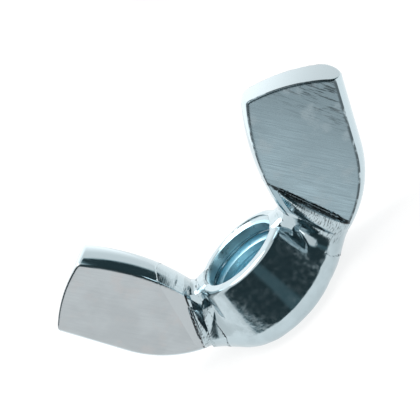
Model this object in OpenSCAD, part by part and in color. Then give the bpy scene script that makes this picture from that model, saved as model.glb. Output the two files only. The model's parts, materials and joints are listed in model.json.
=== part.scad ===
// Wing nut, cold-forged with two straight paddle wings, for a 1/4-20 UNC thread.
// The origin is the centre of the bearing face, +Z is the thread axis, +X runs along the span.
// The real nut is one forging: the boss, the two necks and the two wings are its regions.
// The left side is the right side turned half a circle about the thread axis.

/* [Thread] */
// Radius of the bore, which is the minor radius of the thread
bore_r = 2.55; // [2.4:0.05:2.7]
// Radius of the countersunk mouth at each end of the bore
mouth_r = 3.3; // [3:0.05:3.4]
// Depth of each countersunk mouth
mouth_depth = 0.45; // [0.3:0.05:0.7]

/* [Boss] */
// Height of the boss from the bearing face to the top of its lip
boss_h = 5.5; // [5.3:0.1:5.7]
// Largest radius of the boss, on the round rim of its base
base_r = 5.4; // [5.2:0.1:5.5]
// Outer radius of the rounded lip round the mouth
lip_r = 4.2; // [4.1:0.05:4.3]

/* [Wings] */
// Thickness of the pressed wings
wing_t = 3.3; // [2.9:0.1:3.7]
// How far the rounded outer edge stands out past the flat faces
outer_bulge = 0.8; // [0.5:0.05:1]
// How far the rounded inner edge stands out past the flat faces
inner_bulge = 0.35; // [0.25:0.05:0.6]
// Radius of the arc that ends each wing
tip_r = 11.3; // [11:0.1:11.6]

/* [Necks] */
// Width across a neck from one ridge crest to the other
ridge_w = 5.4; // [4.8:0.1:5.8]
// Distance from the pressed face's edge to the ridge crest
ridge_run = 0.95; // [0.7:0.05:1.1]
// Thickness of the foot that joins a neck to the base rim
foot_w = 4.6; // [4:0.1:5]

/* [Hidden] */
$fn = 96;
zinc = [0.78, 0.81, 0.83];
zinc_wing = [0.64, 0.70, 0.74];
// Sides of the large arcs, and a length that reaches past the nut
arc_fn = 240;
reach = 20;

// Centres and radii of the arcs in the XZ plane that bound a wing
outer_c = [2.5, 12.2];
outer_r = 12;
inner_c = [20.5, 3.3];
inner_r = 16.15;
tip_c = [5.75, 2.6];
// Past its arc the outer edge runs straight up to the tip through this point, leaning out by this angle
edge_at = [12.1, 5.8];
edge_lean = 24.8;
// The face of the tip is pressed a little askew: its axis is turned by these angles from the Y axis
tip_turn = [-4, 0, -14.5];

// The straight line where the pressed face of a wing stops
press_top = [5.6, 7.9];
press_low = [7.6, 2];
// The foot of the other ridge, on the neck's far side, which lies closer to the boss
far_top = [4.9, 6];
far_low = [6.9, 2.2];
// Across a ridge, the groove lies this far from the foot, beyond the crest
groove_run = ridge_run + 0.55;
// The ridges stop a little inside the two long edges
ridge_inset = 0.12;

// The base rim and the lip are round beads, and the straight side of the bell starts and ends inside them
rim_r = 1.3;
rim_c = [base_r - rim_r, rim_r];
lip_bead = 0.42;
lip_c = [lip_r - lip_bead, boss_h - lip_bead];
bell_top = lip_c + lip_bead * [0.6, -0.45];
bell_line = bell_top - rim_c;
tangent_angle = atan2(bell_line[1], bell_line[0]) - acos(rim_r / norm(bell_line));
sink = 0.03;
bell_low = rim_c + (rim_r - sink) * [cos(tangent_angle), sin(tangent_angle)];

// Hollow corner between the lip and the inner edge of a neck
corner_r = 1.3;
corner_c = [3.6, boss_h + corner_r - sink];
corner_t = 2.4;
// Outline of the foot in the XZ plane, and how far it hangs below the wing's outer edge
foot = [[4.4, 0], [6.4, 0.5], [5.9, 2.6], [4.6, 3]];
foot_drop = 0.25;

// Radius of an arc that spans the thickness t and stands out by bulge
function edge_radius(t, bulge) = (pow(t / 2, 2) + pow(bulge, 2)) / (2 * bulge);

// Stands a flat outline of the XZ plane up, with the thickness t along Y
module upright(t) {
    rotate([90, 0, 0]) linear_extrude(t, center = true) children();
}

// Section of a plate from its middle to its edge at r, where it ends in an arc of radius edge
module crowned_section(r, t, edge) {
    intersection() {
        translate([0, -t / 2]) square([r, t]);
        union() {
            translate([r - edge, 0]) circle(edge);
            translate([0, -t / 2]) square([r - edge, t]);
        }
    }
}

// A disc in the XZ plane whose rim is an arc of radius edge across its thickness t
module crowned_disc(centre, r, t, edge) {
    translate([centre[0], 0, centre[1]]) rotate([90, 0, 0])
        rotate_extrude($fn = arc_fn) crowned_section(r, t, edge);
}

// A plate that ends at the straight part of the outer edge
module straight_plate(t, edge) {
    translate([edge_at[0], 0, edge_at[1]]) rotate([0, edge_lean, 0])
        linear_extrude(2 * reach, center = true) translate([-reach, 0]) crowned_section(reach, t, edge);
}

// The long shape that a wing and its neck are cut from
module wing_stock() {
    intersection() {
        crowned_disc(outer_c, outer_r, wing_t, edge_radius(wing_t, outer_bulge));
        crowned_disc(inner_c, inner_r, wing_t, edge_radius(wing_t, inner_bulge));
    }
}

// Puts its children on a line of the XZ plane: Z runs up the line and X out along the wing
module on_line(low, top) {
    lean = atan2(top[0] - low[0], top[1] - low[1]);
    translate([low[0], 0, low[1]]) rotate([0, lean, 0]) children();
}

module beyond_press_line() {
    on_line(press_low, press_top) translate([0, -reach, -reach]) cube([reach, 2 * reach, 2 * reach]);
}

// Section of the ridge on one side of the web, from its foot over the crest to the groove
module ridge_section() {
    polygon([
        [0, 0],
        [0, -wing_t / 2],
        [-ridge_run, -ridge_w / 2],
        [-groove_run, -wing_t / 2],
        [-groove_run, 0]
    ]);
}

// The two ridges of a neck, rounded off towards the wing's two long edges
module ridges() {
    intersection() {
        union() {
            on_line(press_low, press_top) linear_extrude(reach, center = true) ridge_section();
            on_line(far_low, far_top) linear_extrude(reach, center = true) mirror([0, 1]) ridge_section();
        }
        crowned_disc(outer_c, outer_r - ridge_inset, ridge_w, ridge_w / 2);
        crowned_disc(inner_c, inner_r - ridge_inset, ridge_w, ridge_w / 2);
    }
}

// The foot that fills the corner between the neck and the base rim
module neck_foot() {
    intersection() {
        upright(foot_w) polygon(foot);
        crowned_disc(outer_c, outer_r + foot_drop, foot_w, foot_w / 2);
    }
}

// The hollow corner between the lip and the inner edge of the neck
module neck_corner() {
    upright(corner_t) difference() {
        translate([corner_c[0], boss_h - 1]) square([1.6, 1 + corner_r]);
        translate(corner_c) circle(corner_r);
    }
}

// The boss without its bore: base rim, bell and lip
module boss_outside() {
    rotate_extrude() union() {
        polygon([[0, 0], [rim_c[0], 0], rim_c, bell_low, bell_top, lip_c, [lip_c[0], boss_h], [0, boss_h]]);
        translate(rim_c) circle(rim_r);
        translate(lip_c) circle(lip_bead);
    }
}

// The bore of the thread with a countersunk mouth at each end
module bore() {
    cylinder(h = boss_h, r = bore_r);
    translate([0, 0, boss_h - mouth_depth]) cylinder(h = mouth_depth, r1 = bore_r, r2 = mouth_r);
    cylinder(h = mouth_depth, r1 = mouth_r, r2 = bore_r);
}

module neck() {
    difference() {
        union() {
            intersection() {
                wing_stock();
                translate([0, -reach / 2, 0]) cube(reach);
            }
            ridges();
            neck_foot();
            neck_corner();
        }
        beyond_press_line();
        boss_outside();
    }
}

module wing() {
    intersection() {
        wing_stock();
        straight_plate(wing_t, edge_radius(wing_t, outer_bulge));
        translate([tip_c[0], 0, tip_c[1]]) rotate(tip_turn) rotate([90, 0, 0])
            cylinder(h = 2 * wing_t, r = tip_r, center = true, $fn = arc_fn);
        beyond_press_line();
    }
}

module threaded_boss() {
    color(zinc) difference() {
        boss_outside();
        bore();
    }
}

module right_neck() {
    color(zinc) neck();
}

module left_neck() {
    color(zinc) rotate([0, 0, 180]) neck();
}

module right_wing() {
    color(zinc_wing) wing();
}

module left_wing() {
    color(zinc_wing) rotate([0, 0, 180]) wing();
}

threaded_boss();
left_neck();
right_neck();
left_wing();
right_wing();
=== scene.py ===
"""Wing nut: the zinc-plated forging, its tapped hole, its two pressed wings, and a white studio."""

import json
import math
from functools import partial
from types import SimpleNamespace

import bpy
import numpy as np
from mathutils import Matrix, Vector


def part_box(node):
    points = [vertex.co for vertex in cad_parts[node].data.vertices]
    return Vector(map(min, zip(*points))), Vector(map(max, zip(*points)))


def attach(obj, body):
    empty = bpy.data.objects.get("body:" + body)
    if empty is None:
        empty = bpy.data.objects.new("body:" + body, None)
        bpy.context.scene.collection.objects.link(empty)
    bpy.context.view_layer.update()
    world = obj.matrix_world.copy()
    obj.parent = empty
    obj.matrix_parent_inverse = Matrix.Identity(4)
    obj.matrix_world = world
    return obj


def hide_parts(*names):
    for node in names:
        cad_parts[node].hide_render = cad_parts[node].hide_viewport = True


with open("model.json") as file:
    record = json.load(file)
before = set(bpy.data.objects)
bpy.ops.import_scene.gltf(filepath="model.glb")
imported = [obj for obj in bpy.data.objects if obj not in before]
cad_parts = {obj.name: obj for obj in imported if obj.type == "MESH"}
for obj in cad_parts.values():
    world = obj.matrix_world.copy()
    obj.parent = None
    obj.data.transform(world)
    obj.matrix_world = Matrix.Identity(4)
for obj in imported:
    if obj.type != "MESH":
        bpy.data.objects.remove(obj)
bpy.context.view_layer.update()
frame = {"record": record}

bl_info = {
    "name": "Wing Nut",
    "version": (1, 0, 0),
    "blender": (4, 5, 0),
    "location": "View3D > Sidebar > Wing Nut",
    "description": "Builds a cold-forged, zinc-plated wing nut round its CAD frame",
    "category": "Add Mesh",
}

MM = 0.001
BODY = "root"

boss_low, boss_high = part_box("threaded_boss")
wing_low, wing_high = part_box("right_wing")
thread_mount = next(m for m in frame["record"]["mounts"] if m["name"] == "thread")


def length_property(name, description, default, low=0.0):
    """A length in metres that shows in the panel with its unit."""
    return bpy.props.FloatProperty(
        name=name, description=description, default=default, min=low, unit="LENGTH", precision=5
    )


def angle_property(name, description, degrees):
    """An angle that is given in degrees and kept in radians."""
    return bpy.props.FloatProperty(
        name=name, description=description, default=math.radians(degrees), unit="ROTATION"
    )


def share_property(name, description, default):
    """A share from 0 to 1."""
    return bpy.props.FloatProperty(
        name=name, description=description, default=default, min=0.0, max=1.0, subtype="FACTOR"
    )


def colour_property(name, description, default):
    """A colour in linear light."""
    return bpy.props.FloatVectorProperty(
        name=name, description=description, default=default, size=3, min=0.0, max=1.0, subtype="COLOR"
    )


# ---------------------------------------------------------------- sizes and colours


class WINGNUT_PG_thread(bpy.types.PropertyGroup):
    """Sizes of the tapped hole."""

    minor_r: length_property("Minor radius", "Radius to the crests", thread_mount["dims"]["r_mm"] * MM)
    major_r: length_property("Major radius", "Radius to the roots", 3.175 * MM)
    pitch: length_property("Pitch", "Distance from one turn to the next", 1.27 * MM)
    mouth_r: length_property("Mouth radius", "Radius of the countersink at the face", 3.3 * MM)
    mouth_depth: length_property("Mouth depth", "Depth of the countersink", 0.45 * MM)
    lead_in: length_property("Lead-in", "Depth to which the upper mouth widens the first turns", 2.2 * MM)
    start: angle_property("Start", "Where the thread starts round the axis", 40.0)


class WINGNUT_PG_boss(bpy.types.PropertyGroup):
    """Sizes of the bell-shaped boss."""

    height: length_property("Height", "From the bearing face to the top of the lip", boss_high.z)
    base_r: length_property("Base radius", "Largest radius, on the round rim", boss_high.x)
    rim_r: length_property("Rim round", "Radius of the round rim at the base", 1.3 * MM)
    lip_r: length_property("Lip radius", "Outer radius of the lip round the mouth", 4.2 * MM)
    lip_bead: length_property("Lip bead", "Radius of the lip's round section", 0.5 * MM)


class WINGNUT_PG_wing(bpy.types.PropertyGroup):
    """Sizes of the two pressed wings."""

    thickness: length_property("Thickness", "Across the pressed faces", wing_high.y - wing_low.y)
    outer_bulge: length_property("Outer bulge", "How far the outer edge is rounded out", 0.8 * MM)
    inner_bulge: length_property("Inner bulge", "How far the inner edge is rounded out", 0.35 * MM)
    edge_round: length_property("Edge round", "Softening of the edges of the pressed faces", 0.2 * MM)
    tip_r: length_property("Tip radius", "Radius of the arc that ends a wing", 11.3 * MM)


class WINGNUT_PG_neck(bpy.types.PropertyGroup):
    """Sizes of the two necks between the boss and the wings."""

    ridge_w: length_property("Ridge width", "From one ridge crest across to the other", 5.4 * MM)
    ridge_run: length_property("Ridge run", "From the pressed face's edge to the crest", 0.95 * MM)
    web_t: length_property("Web thickness", "Across the neck between its two grooves", 3.0 * MM)
    foot_w: length_property("Foot width", "Across a neck where it meets the base rim", 4.6 * MM)
    corner_r: length_property("Corner radius", "Hollow corner between the lip and the neck", 1.3 * MM)
    side_blend: length_property("Side blend", "Softness of the joint with the bell's side", 0.25 * MM)
    top_blend: length_property("Top blend", "Softness of the joint with the lip", 0.9 * MM)
    under_blend: length_property("Under blend", "Softness of the joint with the base rim", 2.2 * MM)


class WINGNUT_PG_finish(bpy.types.PropertyGroup):
    """Colours of the zinc plating, and how finely the meshes are made."""

    bright: colour_property("Bright zinc", "Plating on the boss and the necks", (0.50, 0.60, 0.64))
    # The hole's colour is brighter than the outer plating: painted light for the light that reaches into
    # the hole
    hole: colour_property("Hole zinc", "Bluer plating inside the hole", (0.52, 0.80, 0.90))
    face: colour_property("Face zinc", "Plating on the smooth wing", (0.45, 0.49, 0.51))
    # A darker copy of the wing plating: painted shade for the dimmer look of the right wing
    shaded_brushed: colour_property("Brushed zinc", "Plating on the wing with press marks", (0.33, 0.44, 0.49))
    shine: share_property("Roughness", "Roughness of the brightest plating", 0.10)
    step: length_property("Mesh step", "Spacing of the mesh's points", 0.12 * MM, 0.05 * MM)


class WINGNUT_PG_stage(bpy.types.PropertyGroup):
    """The camera's place."""

    azimuth: angle_property("Azimuth", "The camera's place round the nut", 16.83)
    elevation: angle_property("Elevation", "The camera's height above the horizon", 17.25)
    roll: angle_property("Roll", "The camera's turn about its own line of sight", 47.56)
    distance: length_property("Distance", "From the camera to its target", 50.99 * MM)
    target_x: length_property("Target X", "Where the camera points, along the span", 0.856 * MM)
    target_z: length_property("Target Z", "Where the camera points, along the axis", 9.28 * MM)


# ---------------------------------------------------------------- the shape, in millimetres

# The dark notch that the press cuts just past the edge of a flat face
NOTCH_AT = 0.08
NOTCH_HALF = 0.16
NOTCH_FADE = (-0.2, -0.7)
# How far one shape runs on inside its neighbour, so that no gap is left between them
BLADE_OVERLAP = 0.2
WEB_OVERLAP = 0.3
FLARE_OVERLAP = 0.3
# Nothing of an arm or a neck comes closer to the YZ plane than this
INNER_END = 0.5
# The stout foot and the flare stop at this share of the ridge's run
FOOT_SHARE = 0.9
# Heights between which the foot widens, the flare pulls in, and the blends with the boss change
FOOT_HEIGHTS = (5.2, 2.8)
FLARE_HEIGHTS = (3.6, 5.2)
TOP_HEIGHTS = (4.6, 5.6)
UNDER_HEIGHTS = (4.4, 2.0)
TOP_WIDTHS = (1.6, 0.9)
# How far the flare pulls in at its top, and stands out past the foot
FLARE_PULL = 0.9
FLARE_PROUD = 0.15
# Softness of the ridges: over the crest, where the two long edges meet, and at the ends
CREST_BLEND = 0.1
ENDS_BLEND = 0.3
RIDGE_BLEND = 0.25
# Softness of the web with its hollow corner, with the flare, of the arms, and of the bearing face's edge
CORNER_BLEND = 0.3
FLARE_BLEND = 0.1
ARM_BLEND = 0.12
BASE_BLEND = 0.15
# The block of metal that the hollow corner is cut from: outer end, spare height, half width and depth
CORNER_END = 5.3
CORNER_SPARE = 0.2
CORNER_HALF = 1.2
CORNER_DEPTH = 1
# At the upper mouth the crests stay this far inside its edge, and the roots reach this far past it
CREST_INSIDE = 0.1
ROOT_PAST = 0.25
# Softness of the thread's roots and of its run-out into the countersinks
ROOT_BLEND = 0.08
MOUTH_BLEND = 0.06
WAVE_HEIGHT = 0.008


def smooth_max(a, b, blend):
    """The larger of two fields, with the corner between them eased over the width blend."""
    share = np.maximum(blend - np.abs(a - b), 0.0) / blend
    return np.maximum(a, b) + share * share * blend / 4


def smooth_min(a, b, blend):
    """The smaller of two fields, with the corner between them eased over the width blend."""
    return -smooth_max(-a, -b, blend)


def ramp(value, start, end):
    """0 at start, 1 at end, and an eased slope between them."""
    share = np.clip((value - start) / (end - start), 0.0, 1.0)
    return share * share * (3 - 2 * share)


def nut_sizes():
    """All sizes in millimetres, with the arcs and lines that the outline is drawn from."""
    scene = bpy.context.scene
    thread, boss = scene.wingnut_thread, scene.wingnut_boss
    wing, neck = scene.wingnut_wing, scene.wingnut_neck
    s = SimpleNamespace()
    s.minor_r, s.major_r, s.pitch = thread.minor_r / MM, thread.major_r / MM, thread.pitch / MM
    s.mouth_r, s.mouth_depth, s.start = thread.mouth_r / MM, thread.mouth_depth / MM, thread.start
    s.lead_in = thread.lead_in / MM
    s.boss_h, s.base_r, s.rim_r = boss.height / MM, boss.base_r / MM, boss.rim_r / MM
    s.lip_r, s.lip_bead = boss.lip_r / MM, boss.lip_bead / MM
    s.wing_t, s.edge_round, s.tip_r = wing.thickness / MM, wing.edge_round / MM, wing.tip_r / MM
    s.outer_bulge, s.inner_bulge = wing.outer_bulge / MM, wing.inner_bulge / MM
    s.ridge_w, s.ridge_run, s.web_t = neck.ridge_w / MM, neck.ridge_run / MM, neck.web_t / MM
    s.corner_r, s.foot_w = neck.corner_r / MM, neck.foot_w / MM
    s.side_blend, s.top_blend = neck.side_blend / MM, neck.top_blend / MM
    s.under_blend = neck.under_blend / MM
    s.rim_c = (s.base_r - s.rim_r, s.rim_r)
    s.lip_c = (s.lip_r - s.lip_bead, s.boss_h - s.lip_bead)
    s.outer_c, s.outer_r, s.edge_lean = (4.3, 9.2), 8.5, math.radians(24.8)
    s.inner_c, s.inner_r = (20.5, 3.3), 16.15
    s.tip_c = (5.75, 2.6)
    s.tip_axis = Matrix.Rotation(math.radians(-14.5), 3, "Z") @ Matrix.Rotation(math.radians(-4.0), 3, "X")
    s.tip_axis = s.tip_axis @ Vector((0.0, 1.0, 0.0))
    s.corner_c = (3.6, s.boss_h + s.corner_r)
    s.press_line = ((7.6, 2.0), (5.6, 7.9))
    s.far_line = ((6.9, 2.2), (4.9, 6.0))
    s.groove_run = 0.25
    s.notch, s.web_inset = 0.14, 0.06
    s.flare_turn = math.radians(25.5)
    s.ridge_inset = 0.12
    return s


def rim_arc_radius(thickness, bulge):
    """Radius of an arc that spans the thickness and stands out by bulge."""
    return ((thickness / 2) ** 2 + bulge**2) / (2 * bulge)


def crowned(out, y, arc):
    """A plate whose edge is an arc across its thickness; out is the distance past that edge."""
    return np.hypot(np.maximum(out + arc, 0.0), y) - arc


def past_outer(x, z, s):
    """Distance past the outer edge of a wing: an arc below, carried straight up to the tip."""
    across, up = x - s.outer_c[0], z - s.outer_c[1]
    along = across * math.sin(s.edge_lean) + up * math.cos(s.edge_lean)
    out = across * math.cos(s.edge_lean) - up * math.sin(s.edge_lean)
    return np.where(along > 0, out, np.hypot(along, out)) - s.outer_r


def past_inner(x, z, s):
    """Distance past the inner edge of a wing."""
    return np.hypot(x - s.inner_c[0], z - s.inner_c[1]) - s.inner_r


def past_tip(x, y, z, s):
    """Distance past the tip, which is part of a cylinder that lies a little askew."""
    across, up = x - s.tip_c[0], z - s.tip_c[1]
    along = across * s.tip_axis.x + y * s.tip_axis.y + up * s.tip_axis.z
    return np.sqrt(np.maximum(across**2 + y**2 + up**2 - along**2, 0.0)) - s.tip_r


def beyond_line(x, z, line):
    """Distance past a leaning line of the XZ plane, out along the wing."""
    (x0, z0), (x1, z1) = line
    length = math.hypot(x1 - x0, z1 - z0)
    return ((x - x0) * (z1 - z0) - (z - z0) * (x1 - x0)) / length


def pressed_blade(x, y, z, s):
    """The wing itself, flat on both faces, with rounded long edges and a blunt tip."""
    outer = crowned(past_outer(x, z, s), y, rim_arc_radius(s.wing_t, s.outer_bulge))
    inner = crowned(past_inner(x, z, s), y, rim_arc_radius(s.wing_t, s.inner_bulge))
    edges = np.maximum(outer, inner)
    line = np.where(y < 0, beyond_line(x, z, s.press_line), beyond_line(x, z, s.far_line))
    notch = s.notch * np.maximum(1 - np.abs(line - NOTCH_AT) / NOTCH_HALF, 0.0) * ramp(edges, *NOTCH_FADE)
    blade = smooth_max(edges, np.abs(y) - s.wing_t / 2 + notch, s.edge_round)
    blade = smooth_max(blade, past_tip(x, y, z, s), s.edge_round)
    return np.maximum(blade, -beyond_line(x, z, s.far_line) - BLADE_OVERLAP)


def web(x, y, z, s):
    """The bar that the press left round, from the wing down into the boss, with a stout foot."""
    arc = s.web_t / 2
    outer, inner = past_outer(x, z, s) + s.web_inset, past_inner(x, z, s) + s.web_inset
    slim = np.maximum(crowned(outer, y, arc), crowned(inner, y, arc))
    slim = np.maximum(slim, beyond_line(x, z, s.press_line) - WEB_OVERLAP)
    line = np.where(y < 0, beyond_line(x, z, s.press_line), beyond_line(x, z, s.far_line))
    stout_arc = arc + (s.foot_w / 2 - arc) * ramp(z, *FOOT_HEIGHTS)
    stout = np.maximum(crowned(outer, y, stout_arc), crowned(inner, y, stout_arc))
    stout = np.maximum(stout, line + s.ridge_run * FOOT_SHARE)
    return np.minimum(slim, stout)


def ridge(x, y, z, s, line, side):
    """One ridge: it swells from the edge of the pressed face, and drops into a groove by the boss."""
    out = beyond_line(x, z, line)
    rise = s.ridge_w / 2 - s.wing_t / 2
    height = side * y - s.wing_t / 2
    swell = (np.hypot((out + s.ridge_run) / s.ridge_run, np.maximum(height, 0.0) / rise) - 1) * rise
    front = np.where(out + s.ridge_run > 0, swell, height - rise)
    back = (-out - s.ridge_run) * rise + (height - rise) * s.groove_run
    back = back / math.hypot(rise, s.groove_run)
    swollen = np.maximum(smooth_max(front, back, CREST_BLEND), -side * y)
    arc = s.ridge_w / 2
    outer = crowned(past_outer(x, z, s) + s.ridge_inset, y, arc)
    inner = crowned(past_inner(x, z, s) + s.ridge_inset, y, arc)
    return smooth_max(swollen, smooth_max(outer, inner, ENDS_BLEND), RIDGE_BLEND)


def hollow_corner(x, y, z, s):
    """Metal in the corner between the lip and the neck's inner edge, hollowed to a round."""
    arc = rim_arc_radius(s.wing_t, s.inner_bulge)
    fall = arc - np.sqrt(np.maximum(arc * arc - y * y, 0.0))
    hollow = s.corner_r + fall - np.hypot(x - s.corner_c[0], z - s.corner_c[1])
    block = np.maximum(np.maximum(s.corner_c[0] - x, x - CORNER_END), z - s.corner_c[1] - CORNER_SPARE)
    sides = np.maximum(np.abs(y) - CORNER_HALF, s.boss_h - CORNER_DEPTH - z)
    return np.maximum(np.maximum(hollow, block), sides)


def pressed_arm(x, y, z, s):
    """A wing with the ridges at its root, on the +X side."""
    ridges = np.minimum(ridge(x, y, z, s, s.press_line, -1), ridge(x, y, z, s, s.far_line, 1))
    return np.maximum(np.minimum(pressed_blade(x, y, z, s), ridges), INNER_END - x)


def round_neck(x, y, z, s):
    """The round web of a neck with its hollow corner, on the +X side."""
    neck = smooth_min(web(x, y, z, s), hollow_corner(x, y, z, s), CORNER_BLEND)
    return np.maximum(smooth_min(neck, flat_flare(x, y, z, s), FLARE_BLEND), INNER_END - x)


def tapered_bar(r, z, low, low_r, high, high_r):
    """Two circles of a half section and the straight sides that touch them both."""
    length = math.hypot(high[0] - low[0], high[1] - low[1])
    along_r, along_z = (high[0] - low[0]) / length, (high[1] - low[1]) / length
    up = (r - low[0]) * along_r + (z - low[1]) * along_z
    out = np.abs((r - low[0]) * along_z - (z - low[1]) * along_r)
    slope = (low_r - high_r) / length
    level = math.sqrt(1 - slope * slope)
    turn = level * up - slope * out
    side = level * out + slope * up - low_r
    low_end = np.hypot(out, up) - low_r
    high_end = np.hypot(out, up - length) - high_r
    return np.where(turn < 0, low_end, np.where(turn > level * length, high_end, side))


def boss_outside(r, z, s):
    """The boss with no hole in it: round base rim, straight-sided bell and rounded lip."""
    bell = tapered_bar(r, z, s.rim_c, s.rim_r, s.lip_c, s.lip_bead)
    core = np.maximum(r - s.lip_c[0], z - s.boss_h)
    base = np.maximum(r - s.rim_c[0], z - s.boss_h / 2)
    return np.maximum(np.minimum(np.minimum(bell, core), base), -z)


def flat_flare(x, y, z, s):
    """Where the bell runs on in a flat facet to the ridge on the neck's far side."""
    reach = x * math.sin(s.flare_turn) + y * math.cos(s.flare_turn)
    flare = boss_outside(reach, z, s) + FLARE_PULL * ramp(z, *FLARE_HEIGHTS)
    flare = np.maximum(flare, beyond_line(x, z, s.far_line) + s.ridge_run * FOOT_SHARE)
    flare = np.maximum(flare, crowned(past_outer(x, z, s), y, s.ridge_w / 2))
    return np.maximum(np.maximum(flare, y - s.foot_w / 2 - FLARE_PROUD), FLARE_OVERLAP - y)


def tapped_hole(x, y, z, s):
    """The threaded hole: bore, helical groove, a countersink at each end, and a widened upper part."""
    r = np.hypot(x, y)
    turns = np.arctan2(y, x) / (2 * np.pi) + s.start / (2 * np.pi)
    phase = z / s.pitch - turns
    off = np.abs(phase - np.round(phase)) * s.pitch
    steep = math.sqrt(3.0)
    widened = np.clip((z - s.boss_h + s.lead_in) / s.lead_in, 0.0, 1.0)
    crest = s.minor_r + widened * (s.mouth_r - CREST_INSIDE - s.minor_r)
    root = s.major_r + widened * (s.mouth_r + ROOT_PAST - s.major_r)
    groove = (r - root - steep * (s.pitch / 16 - off)) / 2
    thread = np.minimum(r - crest, smooth_max(groove, r - root, ROOT_BLEND))
    top = (r - s.mouth_r + np.maximum(s.boss_h - z, 0.0)) / math.sqrt(2.0)
    low_slope = (s.mouth_r - s.minor_r) / s.mouth_depth
    low = (r - s.mouth_r + low_slope * np.maximum(z, 0.0)) / math.hypot(1.0, low_slope)
    return smooth_min(thread, np.minimum(top, low), MOUTH_BLEND)


def forging_waves(x, y, z):
    """Slight unevenness that a forging keeps, in millimetres."""
    waves = np.sin(1.9 * x + 0.8 * z + 0.7) * np.sin(2.3 * y - 1.1 * z)
    waves = waves + 0.6 * np.sin(3.7 * x - 2.9 * y + 1.3 * z + 2.0)
    return WAVE_HEIGHT * waves


def whole_nut(x, y, z, s):
    """The whole forging: below 0 in the metal, 0 on its surface, above 0 outside."""
    r = np.hypot(x, y)
    boss = boss_outside(r, z, s) + forging_waves(x, y, z)
    necks = np.minimum(round_neck(x, y, z, s), round_neck(-x, -y, z, s))
    arms = np.minimum(pressed_arm(x, y, z, s), pressed_arm(-x, -y, z, s))
    near_top = ramp(z, *TOP_HEIGHTS)
    blend = s.side_blend + (s.top_blend - s.side_blend) * near_top * ramp(np.abs(y), *TOP_WIDTHS)
    blend = blend + (s.under_blend - s.side_blend) * ramp(z, *UNDER_HEIGHTS)
    body = smooth_min(smooth_min(boss, necks, blend), arms, ARM_BLEND)
    body = smooth_max(body, -z, BASE_BLEND)
    return np.maximum(body, -tapped_hole(x, y, z, s))


# Thickness of the skin outside the bell that belongs to the boss piece
BOSS_SKIN = 0.35


def boss_region(x, y, z, s):
    """Where the boss piece ends: a thin skin outside the bell, inside the necks' roots."""
    return boss_outside(np.hypot(x, y), z, s) - BOSS_SKIN


def wing_region(x, y, z, s, side):
    """Below 0 beyond the edge of the pressed face, on the side +1 or -1."""
    return -beyond_line(side * x, z, s.press_line)


def neck_region(x, y, z, s, side):
    """Below 0 between the boss piece and the wing piece, on one side."""
    between = np.maximum(-wing_region(x, y, z, s, side), -boss_region(x, y, z, s))
    return np.maximum(between, -side * x)


# ---------------------------------------------------------------- from a field to a mesh

# The four cells that share one edge of the grid, in order round it
EDGE_OFFSETS = ((0, 0), (-1, 0), (-1, -1), (0, -1))
# Directions weaker than this share of the strongest count as flat
FLAT_LIMIT = 0.07
# Distance over which the field's slope is read
SLOPE_STEP = 0.01
# Layers of the grid that are worked out at a time
SLAB = 24
HALVINGS = 12
# Steps of the grid that lie outside the box on each side
GRID_MARGIN = 2.37
CREASE_COS = math.cos(math.radians(20))
# At a crease the slope is read this share of the way out from a triangle's centre
INSIDE_SHARE = 0.6
# A normal that faces its triangle less than this is replaced by the flat one
FACING_LIMIT = 0.2


def field_slopes(field, points):
    """Unit vectors that point straight out of the surface."""
    slopes = np.empty_like(points)
    for axis in range(3):
        step = np.zeros(3)
        step[axis] = SLOPE_STEP
        slopes[:, axis] = field(*(points + step).T) - field(*(points - step).T)
    return slopes / np.maximum(np.linalg.norm(slopes, axis=1, keepdims=True), 1e-12)


def sample_grid(field, low, counts, step):
    """The field's values on a box of evenly spaced points."""
    axes = [low[i] + step * np.arange(counts[i]) for i in range(3)]
    values = np.empty(counts, np.float32)
    for first in range(0, counts[0], SLAB):
        x, y, z = np.meshgrid(axes[0][first : first + SLAB], axes[1], axes[2], indexing="ij", sparse=True)
        values[first : first + SLAB] = field(x, y, z)
    return values


def find_crossings(field, values, low, step):
    """Where the grid's edges pass through the surface, and which four cells share each edge."""
    inside = values < 0
    starts, axes_of, flips = [], [], []
    for axis in range(3):
        near = inside.take(range(inside.shape[axis] - 1), axis)
        far = inside.take(range(1, inside.shape[axis]), axis)
        found = np.argwhere(near != far)
        starts.append(found)
        axes_of.append(np.full(len(found), axis))
        flips.append(near[tuple(found.T)])
    starts, axes_of, flips = np.concatenate(starts), np.concatenate(axes_of), np.concatenate(flips)
    along = np.eye(3)[axes_of]
    base = low + step * starts
    share_low, share_high = np.zeros(len(starts)), np.ones(len(starts))
    for _ in range(HALVINGS):
        middle = (share_low + share_high) / 2
        sign = field(*(base + along * (middle * step)[:, None]).T) < 0
        ahead = sign == flips
        share_low = np.where(ahead, middle, share_low)
        share_high = np.where(ahead, share_high, middle)
    points = base + along * ((share_low + share_high) / 2 * step)[:, None]
    cells = np.empty((len(starts), 4, 3), int)
    for axis in range(3):
        mine = axes_of == axis
        first, second = (axis + 1) % 3, (axis + 2) % 3
        for corner, (a, b) in enumerate(EDGE_OFFSETS):
            cells[mine, corner] = starts[mine]
            cells[mine, corner, first] += a
            cells[mine, corner, second] += b
    return points, cells, flips


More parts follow.
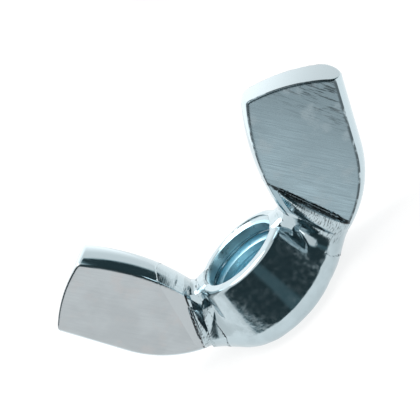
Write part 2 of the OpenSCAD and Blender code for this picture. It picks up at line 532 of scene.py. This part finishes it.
def place_vertices(points, slopes, owner, count, corners, step):
    """One vertex for each cell, where the planes through the cell's crossings meet."""
    spread = np.repeat(points, 4, axis=0)
    facing = np.repeat(slopes, 4, axis=0)
    number = np.bincount(owner, minlength=count)
    middle = np.stack([np.bincount(owner, spread[:, i], count) for i in range(3)], 1) / number[:, None]
    gap = np.einsum("ij,ij->i", facing, spread - middle[owner])
    square, pull = np.empty((count, 3, 3)), np.empty((count, 3))
    for i in range(3):
        pull[:, i] = np.bincount(owner, facing[:, i] * gap, count)
        for j in range(3):
            square[:, i, j] = np.bincount(owner, facing[:, i] * facing[:, j], count)
    strengths, directions = np.linalg.eigh(square)
    kept = strengths > FLAT_LIMIT * strengths[:, 2:]
    shares = np.where(kept, 1 / np.where(kept, strengths, 1), 0)
    turned = np.einsum("nji,nj->ni", directions, pull) * shares
    moved = middle + np.einsum("nij,nj->ni", directions, turned)
    return np.clip(moved, corners, corners + step)


def surface_mesh(field, low, high, step):
    """Vertices, triangles and a normal for each triangle's corner, with the field's creases kept."""
    low = np.array(low, float) - GRID_MARGIN * step
    counts = np.ceil((np.array(high) + GRID_MARGIN * step - low) / step).astype(int) + 1
    values = sample_grid(field, low, counts, step)
    points, cells, flips = find_crossings(field, values, low, step)
    slopes = field_slopes(field, points)
    names = np.ravel_multi_index(cells.reshape(-1, 3).T, tuple(counts))
    used, owner = np.unique(names, return_inverse=True)
    corners = low + step * np.stack(np.unravel_index(used, tuple(counts)), 1)
    vertices = place_vertices(points, slopes, owner, len(used), corners, step)
    quads = owner.reshape(-1, 4)
    quads = np.where(flips[:, None], quads, quads[:, ::-1])
    first = np.abs(field(*((vertices[quads[:, 0]] + vertices[quads[:, 2]]) / 2).T))
    second = np.abs(field(*((vertices[quads[:, 1]] + vertices[quads[:, 3]]) / 2).T))
    turned = np.where((second < first)[:, None], np.roll(quads, -1, axis=1), quads)
    triangles = np.concatenate([turned[:, [0, 1, 2]], turned[:, [0, 2, 3]]])
    sides = vertices[triangles]
    flat = np.cross(sides[:, 1] - sides[:, 0], sides[:, 2] - sides[:, 0])
    size = np.linalg.norm(flat, axis=1)
    whole = size > 1e-7 * step
    triangles, sides, flat = triangles[whole], sides[whole], flat[whole] / size[whole, None]
    return vertices, triangles, corner_normals(field, vertices, triangles, sides, flat)


def corner_normals(field, vertices, triangles, sides, flat):
    """The field's slope at each corner. At a crease it is read a little way inside the triangle."""
    smooth = field_slopes(field, vertices)[triangles]
    centres = sides.mean(axis=1, keepdims=True)
    inner = sides * INSIDE_SHARE + centres * (1 - INSIDE_SHARE)
    creased = np.einsum("nij,nj->ni", smooth, flat) < CREASE_COS
    normals = smooth
    if creased.any():
        normals[creased] = field_slopes(field, inner[creased])
    bad = np.einsum("nij,nj->ni", normals, flat) < FACING_LIMIT
    normals[bad] = np.broadcast_to(flat[:, None, :], normals.shape)[bad]
    return normals.reshape(-1, 3)


def make_piece(name, region, box, material, node):
    """Builds one region of the forging as a closed mesh that stands for its CAD node."""
    s = nut_sizes()
    step = bpy.context.scene.wingnut_finish.step / MM

    def field(x, y, z):
        return np.maximum(whole_nut(x, y, z, s), region(x, y, z, s))

    vertices, triangles, normals = surface_mesh(field, *box, step)
    mesh = bpy.data.meshes.new(name)
    mesh.vertices.add(len(vertices))
    mesh.vertices.foreach_set("co", (vertices * MM).astype(np.float32).ravel())
    mesh.loops.add(triangles.size)
    mesh.loops.foreach_set("vertex_index", triangles.astype(np.int32).ravel())
    mesh.polygons.add(len(triangles))
    mesh.polygons.foreach_set("loop_start", np.arange(0, triangles.size, 3, dtype=np.int32))
    mesh.polygons.foreach_set("use_smooth", np.ones(len(triangles), bool))
    mesh.update(calc_edges=True)
    mesh.normals_split_custom_set(normals.astype(np.float32))
    mesh.materials.append(material)
    piece = bpy.data.objects.new(name, mesh)
    bpy.context.scene.collection.objects.link(piece)
    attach(piece, BODY)
    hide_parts(node)


# ---------------------------------------------------------------- finishes


class Nodes:
    """Short ways to add nodes to a tree."""

    def __init__(self, tree):
        self.tree = tree
        self.tree.nodes.clear()

    def node(self, kind, **settings):
        made = self.tree.nodes.new(kind)
        for key, value in settings.items():
            setattr(made, key, value)
        return made

    def join(self, source, target):
        self.tree.links.new(source, target)

    def feed(self, target, value):
        """Links a socket, or sets a plain number or vector."""
        if isinstance(value, bpy.types.NodeSocket):
            self.join(value, target)
        else:
            target.default_value = value

    def math(self, operation, a, b=0.0):
        made = self.node("ShaderNodeMath", operation=operation)
        self.feed(made.inputs[0], a)
        self.feed(made.inputs[1], b)
        return made.outputs[0]

    def vector(self, operation, a, b):
        made = self.node("ShaderNodeVectorMath", operation=operation)
        self.feed(made.inputs[0], a)
        self.feed(made.inputs[1], b)
        return made.outputs["Vector"]

    def split(self, vector):
        """The three coordinates of a vector."""
        made = self.node("ShaderNodeSeparateXYZ")
        self.join(vector, made.inputs[0])
        return made.outputs

    def ramp(self, value, start, end, low=0.0, high=1.0):
        """low at start, high at end, eased between them."""
        made = self.node("ShaderNodeMapRange", interpolation_type="SMOOTHSTEP")
        self.feed(made.inputs["Value"], value)
        made.inputs["From Min"].default_value = start
        made.inputs["From Max"].default_value = end
        made.inputs["To Min"].default_value = low
        made.inputs["To Max"].default_value = high
        return made.outputs["Result"]

    def mix(self, share, a, b):
        """Colour a where share is 0, and b where it is 1."""
        made = self.node("ShaderNodeMix", data_type="RGBA")
        self.feed(made.inputs["Factor"], share)
        self.feed(made.inputs["A"], a if isinstance(a, bpy.types.NodeSocket) else (*a, 1.0))
        self.feed(made.inputs["B"], b if isinstance(b, bpy.types.NodeSocket) else (*b, 1.0))
        return made.outputs["Result"]


class Finish(Nodes):
    """A metal that is built up step by step from the object's own coordinates, in millimetres."""

    def __init__(self, name):
        self.material = bpy.data.materials.new(name)
        self.material.use_nodes = True
        super().__init__(self.material.node_tree)
        self.shader = self.node("ShaderNodeBsdfPrincipled")
        output = self.node("ShaderNodeOutputMaterial")
        self.join(self.shader.outputs["BSDF"], output.inputs["Surface"])
        self.shader.inputs["Metallic"].default_value = 1.0
        place = self.node("ShaderNodeTexCoord").outputs["Object"]
        self.place = self.vector("MULTIPLY", place, (1 / MM, 1 / MM, 1 / MM))
        self.x, self.y, self.z = self.split(self.place)
        self.height = self.math("ABSOLUTE", self.y)

    def stretched(self, turn, scale):
        """The coordinates turned about Y, then scaled, so that a pattern runs in one direction."""
        made = self.node("ShaderNodeMapping", vector_type="TEXTURE")
        self.join(self.place, made.inputs["Vector"])
        made.inputs["Rotation"].default_value = (0.0, turn, 0.0)
        made.inputs["Scale"].default_value = scale
        return made.outputs["Vector"]

    def noise(self, scale, detail=3.0, place=None, roughness=0.5):
        made = self.node("ShaderNodeTexNoise")
        self.join(place or self.place, made.inputs["Vector"])
        made.inputs["Scale"].default_value = scale
        made.inputs["Detail"].default_value = detail
        made.inputs["Roughness"].default_value = roughness
        return made.outputs["Fac"]

    def bump(self, height, depth, under=None):
        """Adds a relief whose full depth is given in millimetres."""
        made = self.node("ShaderNodeBump")
        made.inputs["Distance"].default_value = depth * MM
        self.join(height, made.inputs["Height"])
        if under is not None:
            self.join(under, made.inputs["Normal"])
        return made.outputs["Normal"]


def darker(colour, share):
    """A colour brought down to a share of its brightness."""
    return tuple(channel * share for channel in colour)


# Bands of distance from the middle plane of a wing, in millimetres. The rounded edges lie inside the
# first, the flat faces inside the second, and the ridges outside the third.
EDGE_FADE = (1.6, 1.5)
FACE_FADE = (1.72, 1.67)
RIDGE_FADE = (1.75, 2.1)
# The thin line of painted dark reflection along the rims of the flat faces: where it comes in, and where
# it goes out
RIM_IN = (1.46, 1.5)
RIM_OUT = (1.62, 1.57)
# Bands of distance past the far line: where the flat face starts, and where the flakes on the ridge do
FACE_START = (0.0, 0.05)
FLAKES_START = (-1.1, -0.9)
# Radii between which the hole's bluer colour starts, painted lighter than the outer plating to stand in
# for the light inside the hole
HOLE_FADE = (3.3, 3.2)
# How bright the rounded edges are beside the bright plating, raised above it as a painted highlight, and
# how bright the clouds are
EDGE_HIGHLIGHT_GAIN = 1.1
CLOUD_SHARE = 0.93
CLOUD_BAND = (0.35, 0.65)
# How much rougher the hole is than the outside of the boss
HOLE_DULLNESS = 0.2
# Relief of the plating, in millimetres
PEEL_DEPTH = 0.006
FINE_DEPTH = 0.001
DRAG_DEPTH = 0.006
GRAIN_DEPTH = 0.008
# The painted shade in the crease where the press stopped: where its middle lies, and its half width on the
# ridged side and on the far side
CREASE_SHADE_AT = 0.04
NEAR_CREASE_SHADE = (0.16, 0.09)
FAR_CREASE_SHADE = (0.1, 0.05)
CREASE_SHADE_FADE = (1.3, 1.5)
# Distances past the press line over which painted shade darkens a streaked wing towards its tip, and over
# which its painted dark reflections near the tip start
SHADE_RUN = (1.0, 7.5)
TIP_REFLECTION_START = (4.5, 7.5)
# Turns about Y of the directions in which the marks run
FLAKE_TURN = math.radians(-18.7)
DRAG_TURN = math.radians(-18.0)
GRAIN_TURN = math.radians(-32.0)
TIP_REFLECTION_TURN = math.radians(-25.0)


def clouded(f, colours):
    """Bright plating with faint darker clouds."""
    clouds = f.ramp(f.noise(0.9, 4.0), *CLOUD_BAND)
    return f.mix(clouds, darker(colours.bright, CLOUD_SHARE), tuple(colours.bright))


def orange_peel(f):
    """The slight waviness of plated metal."""
    return f.bump(f.noise(2.0, 3.0), PEEL_DEPTH)


def uneven_shine(f, low, high):
    """Roughness that wanders between two values."""
    return f.ramp(f.noise(2.5, 5.0), 0.3, 0.75, low, high)


def boss_finish(colours):
    """Bright plating with orange peel; inside the hole bluer, duller, and painted lighter to stand in for
    the light that reaches in.
    """
    f = Finish("bright_zinc_boss")
    x_y = f.vector("MULTIPLY", f.place, (1.0, 1.0, 0.0))
    length = f.node("ShaderNodeVectorMath", operation="LENGTH")
    f.join(x_y, length.inputs[0])
    in_hole = f.ramp(length.outputs["Value"], *HOLE_FADE)
    # Inside the hole the colour is painted lighter, standing in for the light that reaches into the hole
    colour = f.mix(in_hole, clouded(f, colours), tuple(colours.hole))
    f.join(colour, f.shader.inputs["Base Color"])
    rough = uneven_shine(f, colours.shine * 0.7, colours.shine * 1.8)
    f.join(f.math("ADD", rough, f.math("MULTIPLY", in_hole, HOLE_DULLNESS)), f.shader.inputs["Roughness"])
    f.join(f.bump(f.noise(9.0, 3.0), FINE_DEPTH, orange_peel(f)), f.shader.inputs["Normal"])
    return f.material


def past_line(f, line):
    """Distance in mm past a leaning line of the XZ plane, out along either wing."""
    (x0, z0), (x1, z1) = line
    length = math.hypot(x1 - x0, z1 - z0)
    across = f.math("MULTIPLY", f.math("SUBTRACT", f.math("ABSOLUTE", f.x), x0), (z1 - z0) / length)
    return f.math("SUBTRACT", across, f.math("MULTIPLY", f.math("SUBTRACT", f.z, z0), (x1 - x0) / length))


def press_crease_shade(f, s):
    """1 on the thin line of painted shade in the crease where a flat face stops, 0 elsewhere."""
    turned = f.math("MULTIPLY", f.math("SIGN", f.x), f.y)
    near_side = f.math("LESS_THAN", turned, 0.0)
    near = f.math("ABSOLUTE", f.math("SUBTRACT", past_line(f, s.press_line), CREASE_SHADE_AT))
    far = f.math("ABSOLUTE", f.math("SUBTRACT", past_line(f, s.far_line), CREASE_SHADE_AT))
    near = f.math("MULTIPLY", f.ramp(near, *NEAR_CREASE_SHADE), near_side)
    far = f.math("MULTIPLY", f.ramp(far, *FAR_CREASE_SHADE), f.math("SUBTRACT", 1.0, near_side))
    side_face = f.ramp(f.height, *CREASE_SHADE_FADE)
    ragged = f.ramp(f.noise(3.0, 4.0), 0.35, 0.5)
    return f.math("MULTIPLY", f.math("MULTIPLY", f.math("ADD", near, far), side_face), ragged)


def neck_finish(name, colours, face):
    """Bright plating with drag marks on the ridges, the wing's colour on the flat faces (on the right neck
    the wing's painted-shade copy), a painted highlight on the rounded edges and painted shade in the press
    creases.
    """
    f = Finish(name)
    s = nut_sizes()
    past_far = past_line(f, s.far_line)
    on_wing = f.ramp(past_far, *FACE_START)
    colour = clouded(f, colours)
    colour = f.mix(f.math("MULTIPLY", f.ramp(f.height, *FACE_FADE), on_wing), colour, tuple(face))
    # Rounded edges: the bright plating, raised as a painted highlight
    on_edge = f.math("MULTIPLY", f.ramp(f.height, *EDGE_FADE), on_wing)
    colour = f.mix(on_edge, colour, darker(colours.bright, EDGE_HIGHLIGHT_GAIN))
    on_ridge = f.math("MULTIPLY", f.ramp(f.height, *RIDGE_FADE), f.ramp(past_far, *FLAKES_START))
    flakes = f.noise(1.0, 4.0, f.stretched(FLAKE_TURN, (0.35, 0.35, 0.07)), 0.6)
    flakes = f.math("MULTIPLY", f.ramp(flakes, 0.5, 0.62), on_ridge)
    colour = f.mix(flakes, colour, darker(colours.bright, 0.35))
    # Painted shade: a near-black line in the crease where the flat face stops
    colour = f.mix(press_crease_shade(f, s), colour, darker(colours.bright, 0.05))
    f.join(colour, f.shader.inputs["Base Color"])
    rough = uneven_shine(f, colours.shine * 0.8, colours.shine * 2.2)
    f.join(rough, f.shader.inputs["Roughness"])
    drag = f.noise(1.0, 4.0, f.stretched(DRAG_TURN, (1.2, 1.2, 0.12)))
    f.join(f.bump(drag, DRAG_DEPTH, orange_peel(f)), f.shader.inputs["Normal"])
    return f.material


def wing_finish(name, colours, colour, roughness, grain, painted_dark):
    """Pressed face: fine grain in one direction over faint clouds, with painted shade that deepens towards
    the tip and painted dark reflections near the tip and along the face rims.
    """
    f = Finish(name)
    s = nut_sizes()
    past_root = past_line(f, s.press_line)
    lines = f.noise(1.0, 5.0, f.stretched(GRAIN_TURN, (0.07, 0.4, 2.4)), 0.6)
    tone = f.mix(f.ramp(f.noise(0.45, 3.0), *CLOUD_BAND), tuple(colour), darker(colour, 0.9))
    # Painted shade: the wing darkens towards its tip
    tone = f.mix(f.ramp(past_root, *SHADE_RUN, 0.0, painted_dark), tone, darker(colour, 0.6))
    tone = f.mix(f.math("MULTIPLY", f.ramp(lines, 0.35, 0.65), grain), tone, darker(colour, 0.7))
    # Painted dark reflection: thin dark lines near the tip, where the pressed face mirrors the dark side
    # of the room
    tip_dark_reflection = f.noise(1.0, 6.0, f.stretched(TIP_REFLECTION_TURN, (0.12, 0.5, 1.6)), 0.7)
    near_tip = f.math("MULTIPLY", f.ramp(past_root, *TIP_REFLECTION_START), painted_dark)
    tone = f.mix(f.math("MULTIPLY", f.ramp(tip_dark_reflection, 0.52, 0.6), near_tip), tone, darker(colour, 0.2))
    warmth = f.math("MULTIPLY", f.ramp(f.noise(0.7, 4.0, None, 0.6), 0.5, 0.68), 0.5)
    tone = f.mix(warmth, tone, (colour[0] * 1.02, colour[1] * 0.93, colour[2] * 0.9))
    # Painted shade: a near-black line in the crease where the flat face stops
    tone = f.mix(press_crease_shade(f, s), tone, darker(colour, 0.08))
    # Rounded edges: the bright plating, raised as a painted highlight
    on_edge = f.ramp(f.height, *EDGE_FADE)
    tone = f.mix(on_edge, tone, darker(colours.bright, EDGE_HIGHLIGHT_GAIN))
    # Painted dark reflection: a thin dark line along the rims of the flat faces
    rim_reflection_band = f.math("MULTIPLY", f.ramp(f.height, *RIM_IN), f.ramp(f.height, *RIM_OUT))
    rim_dark_reflection = f.math("MULTIPLY", rim_reflection_band, f.ramp(f.noise(1.3, 4.0), 0.35, 0.5))
    tone = f.mix(f.math("MULTIPLY", rim_dark_reflection, painted_dark), tone, darker(colour, 0.25))
    f.join(tone, f.shader.inputs["Base Color"])
    rough = f.ramp(lines, 0.3, 0.7, roughness * 0.8, roughness * 1.3)
    smoother = f.math("MULTIPLY", on_edge, roughness - colours.shine)
    f.join(f.math("SUBTRACT", rough, smoother), f.shader.inputs["Roughness"])
    off_edge = f.math("MULTIPLY", lines, f.math("SUBTRACT", 1.0, on_edge))
    f.join(f.bump(off_edge, GRAIN_DEPTH), f.shader.inputs["Normal"])
    return f.material


# ---------------------------------------------------------------- operators

# Room round a CAD node's box for the piece that replaces it, in millimetres
BOSS_ROOM = 0.05
LIP_ROOM = 0.4
NECK_ROOM = 0.6
WING_ROOM = 0.3
SIDES = (("left", -1), ("right", 1))


def node_box(name, room):
    """The box of a CAD node in millimetres, grown by room on every side."""
    low, high = (np.array(corner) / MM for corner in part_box(name))
    return low - room, high + room


class WINGNUT_OT_boss(bpy.types.Operator):
    """Build the boss with its tapped hole"""

    bl_idname = "wingnut.boss"
    bl_label = "Boss"

    def execute(self, context):
        finish = boss_finish(context.scene.wingnut_finish)
        low, high = np.array(boss_low) / MM, np.array(boss_high) / MM
        beside, above = BOSS_SKIN + BOSS_ROOM, BOSS_SKIN + LIP_ROOM
        box = (low - BOSS_SKIN - BOSS_ROOM, high + (beside, beside, above))
        make_piece("forged_boss", boss_region, box, finish, "threaded_boss")
        return {"FINISHED"}


class WINGNUT_OT_necks(bpy.types.Operator):
    """Build the two ridged necks"""

    bl_idname = "wingnut.necks"
    bl_label = "Necks"

    def execute(self, context):
        colours = context.scene.wingnut_finish
        finishes = {
            "left": neck_finish("bright_zinc_left_neck", colours, colours.face),
            # The right neck's flat faces take the right wing's painted-shade copy of the plating
            "right": neck_finish("bright_zinc_right_neck", colours, colours.shaded_brushed),
        }
        for name, side in SIDES:
            region = partial(neck_region, side=side)
            box = node_box(name + "_neck", NECK_ROOM)
            make_piece(name + "_ridged_neck", region, box, finishes[name], name + "_neck")
        return {"FINISHED"}


class WINGNUT_OT_wings(bpy.types.Operator):
    """Build the two pressed wings"""

    bl_idname = "wingnut.wings"
    bl_label = "Wings"

    def execute(self, context):
        colours = context.scene.wingnut_finish
        finishes = {
            "left": wing_finish("pressed_zinc_smooth", colours, colours.face, 0.16, 0.15, 0.0),
            # The right wing: the painted-shade copy of the plating, with its painted shade and dark
            # reflections switched on
            "right": wing_finish("pressed_zinc_brushed", colours, colours.shaded_brushed, 0.27, 0.7, 1.0),
        }
        for name, side in SIDES:
            region = partial(wing_region, side=side)
            box = node_box(name + "_wing", WING_ROOM)
            make_piece(name + "_pressed_wing", region, box, finishes[name], name + "_wing")
        return {"FINISHED"}


class WINGNUT_OT_stage(bpy.types.Operator):
    """Lay the floor, hang the soft light and set up the camera"""

    bl_idname = "wingnut.stage"
    bl_label = "Stage"

    def execute(self, context):
        lay_floor()
        hang_light()
        surround()
        set_camera(context.scene.wingnut_stage)
        context.scene.view_settings.view_transform = "Standard"
        return {"FINISHED"}


WHITE = (1.0, 1.0, 1.0)
FLOOR_HALF = 1.0
FLOOR_GREY = (0.25, 0.25, 0.25, 1.0)
# The floor gives off most of its own light, so that it stays pale and nearly free of shadow
FLOOR_GLOW = 0.82


def lay_floor():
    """A pale floor at the height of the bearing face."""
    half = FLOOR_HALF
    mesh = bpy.data.meshes.new("floor")
    corners = [(-half, -half, 0), (half, -half, 0), (half, half, 0), (-half, half, 0)]
    mesh.from_pydata(corners, [], [(0, 1, 2, 3)])
    paint = bpy.data.materials.new("pale_floor")
    paint.use_nodes = True
    shader = paint.node_tree.nodes["Principled BSDF"]
    shader.inputs["Base Color"].default_value = FLOOR_GREY
    shader.inputs["Roughness"].default_value = 0.9
    shader.inputs["Specular IOR Level"].default_value = 0.0
    shader.inputs["Emission Color"].default_value = (*WHITE, 1.0)
    shader.inputs["Emission Strength"].default_value = FLOOR_GLOW
    mesh.materials.append(paint)
    floor = bpy.data.objects.new("floor", mesh)
    bpy.context.scene.collection.objects.link(floor)


LAMP_SIZE = 0.3
LAMP_WATTS = 0.5
LAMP_PLACE = (-0.05, 0.02, 0.35)


def hang_light():
    """One broad soft light overhead."""
    lamp = bpy.data.lights.new("overhead_softbox", "AREA")
    lamp.shape = "DISK"
    lamp.size = LAMP_SIZE
    lamp.energy = LAMP_WATTS
    light = bpy.data.objects.new("overhead_softbox", lamp)
    light.location = LAMP_PLACE
    light.rotation_euler = (Vector((0, 0, 0)) - light.location).to_track_quat("-Z", "Y").to_euler()
    bpy.context.scene.collection.objects.link(light)


# The dark side of the room: its direction round the nut, and the half angles over which it ends
DARK_CENTRE = math.radians(-57.0)
DARK_ENDS = (math.radians(104.0), math.radians(98.0))
# Half angles from the same direction over which the brighter back of the room starts
BEHIND = (math.radians(118.0), math.radians(150.0))
# Heights between which it fades in above the floor, and out overhead, as sines of the elevation
DARK_FOOT = (math.sin(math.radians(1.0)), math.sin(math.radians(4.0)))
DARK_TOP = (math.sin(math.radians(50.0)), math.sin(math.radians(40.0)))
# The share of the light that the dark side takes away
DARK_DEPTH = 0.94
# A slightly lighter gap in the dark side: how far it is turned, and the half angles over which it ends
GAP_TURN = math.radians(16.0)
GAP_ENDS = (math.radians(14.0), math.radians(7.0))
GAP_LIGHT = 0.09
# Strength of the room's light, and what its back adds
ROOM_LIGHT = 0.9
BEHIND_LIGHT = 0.5
DARK_TINT = (0.5, 0.88, 1.0)


def surround():
    """A white room whose front side is dark, so that bright metal has something to mirror."""
    world = bpy.data.worlds.new("white_room")
    bpy.context.scene.world = world
    world.use_nodes = True
    room = Nodes(world.node_tree)
    calc = room.math
    x, y, z = room.split(room.node("ShaderNodeTexCoord").outputs["Generated"])
    ahead_x, ahead_y = math.cos(DARK_CENTRE), math.sin(DARK_CENTRE)
    forward = calc("ADD", calc("MULTIPLY", x, ahead_x), calc("MULTIPLY", y, ahead_y))
    sideways = calc("SUBTRACT", calc("MULTIPLY", y, ahead_x), calc("MULTIPLY", x, ahead_y))
    turn = calc("ARCTAN2", sideways, forward)
    angle = calc("ABSOLUTE", turn)
    in_front = room.ramp(angle, *DARK_ENDS)
    dark = calc("MULTIPLY", calc("MULTIPLY", in_front, room.ramp(z, *DARK_FOOT)), room.ramp(z, *DARK_TOP))
    behind = calc("MULTIPLY", room.ramp(angle, *BEHIND), BEHIND_LIGHT)
    off_gap = calc("ABSOLUTE", calc("ADD", turn, GAP_TURN))
    gap = calc("MULTIPLY", room.ramp(off_gap, *GAP_ENDS), GAP_LIGHT)
    left = calc("SUBTRACT", 1.0, calc("MULTIPLY", dark, calc("SUBTRACT", DARK_DEPTH, gap)))
    level = calc("MULTIPLY", calc("ADD", behind, ROOM_LIGHT), left)
    seen = room.node("ShaderNodeLightPath").outputs["Is Camera Ray"]
    tint = room.mix(calc("MULTIPLY", dark, calc("SUBTRACT", 1.0, seen)), WHITE, DARK_TINT)
    background = room.node("ShaderNodeBackground")
    room.join(calc("MAXIMUM", level, seen), background.inputs["Strength"])
    room.join(tint, background.inputs["Color"])
    room.join(background.outputs[0], room.node("ShaderNodeOutputWorld").inputs["Surface"])


def set_camera(view):
    """The camera looks slightly down at the nut, from the front and a little to the right."""
    data = bpy.data.cameras.new("camera")
    data.lens = 60.35
    data.sensor_width = 36.0
    data.clip_start = 0.002
    data.clip_end = 5.0
    camera = bpy.data.objects.new("camera", data)
    round_it, level = view.azimuth, math.cos(view.elevation)
    back = Vector((math.sin(round_it) * level, -math.cos(round_it) * level, math.sin(view.elevation)))
    right = Vector((math.cos(round_it), math.sin(round_it), 0.0))
    up = back.cross(right)
    turned_right = right * math.cos(view.roll) - up * math.sin(view.roll)
    turned_up = right * math.sin(view.roll) + up * math.cos(view.roll)
    place = Vector((view.target_x, 0.0, view.target_z)) + back * view.distance
    turn = Matrix((turned_right, turned_up, back)).transposed()
    camera.matrix_world = Matrix.Translation(place) @ turn.to_4x4()
    bpy.context.scene.collection.objects.link(camera)
    bpy.context.scene.camera = camera


class WINGNUT_PT_panel(bpy.types.Panel):
    """The nut's sizes and the buttons that build it"""

    bl_idname = "WINGNUT_PT_panel"
    bl_label = "Wing Nut"
    bl_space_type = "VIEW_3D"
    bl_region_type = "UI"
    bl_category = "Wing Nut"

    def draw(self, context):
        for operator, groups in STEPS:
            box = self.layout.box()
            box.operator(operator)
            for group in groups:
                settings = getattr(context.scene, group)
                for key in settings.bl_rna.properties.keys():
                    if key not in ("rna_type", "name"):
                        box.prop(settings, key)


GROUPS = {
    "wingnut_thread": WINGNUT_PG_thread,
    "wingnut_boss": WINGNUT_PG_boss,
    "wingnut_wing": WINGNUT_PG_wing,
    "wingnut_neck": WINGNUT_PG_neck,
    "wingnut_finish": WINGNUT_PG_finish,
    "wingnut_stage": WINGNUT_PG_stage,
}
# Each operator with the groups of settings that stand below its button
STEPS = (
    ("wingnut.boss", ("wingnut_boss", "wingnut_thread")),
    ("wingnut.necks", ("wingnut_neck",)),
    ("wingnut.wings", ("wingnut_wing", "wingnut_finish")),
    ("wingnut.stage", ("wingnut_stage",)),
)
CLASSES = (
    *GROUPS.values(),
    WINGNUT_OT_boss,
    WINGNUT_OT_necks,
    WINGNUT_OT_wings,
    WINGNUT_OT_stage,
    WINGNUT_PT_panel,
)


def register():
    for made in CLASSES:
        bpy.utils.register_class(made)
    for name, group in GROUPS.items():
        setattr(bpy.types.Scene, name, bpy.props.PointerProperty(type=group))


def unregister():
    for name in GROUPS:
        delattr(bpy.types.Scene, name)
    for made in reversed(CLASSES):
        bpy.utils.unregister_class(made)


def main():
    register()
    bpy.ops.wingnut.stage()
    bpy.ops.wingnut.boss()
    bpy.ops.wingnut.necks()
    bpy.ops.wingnut.wings()


if __name__ == "__main__":
    main()
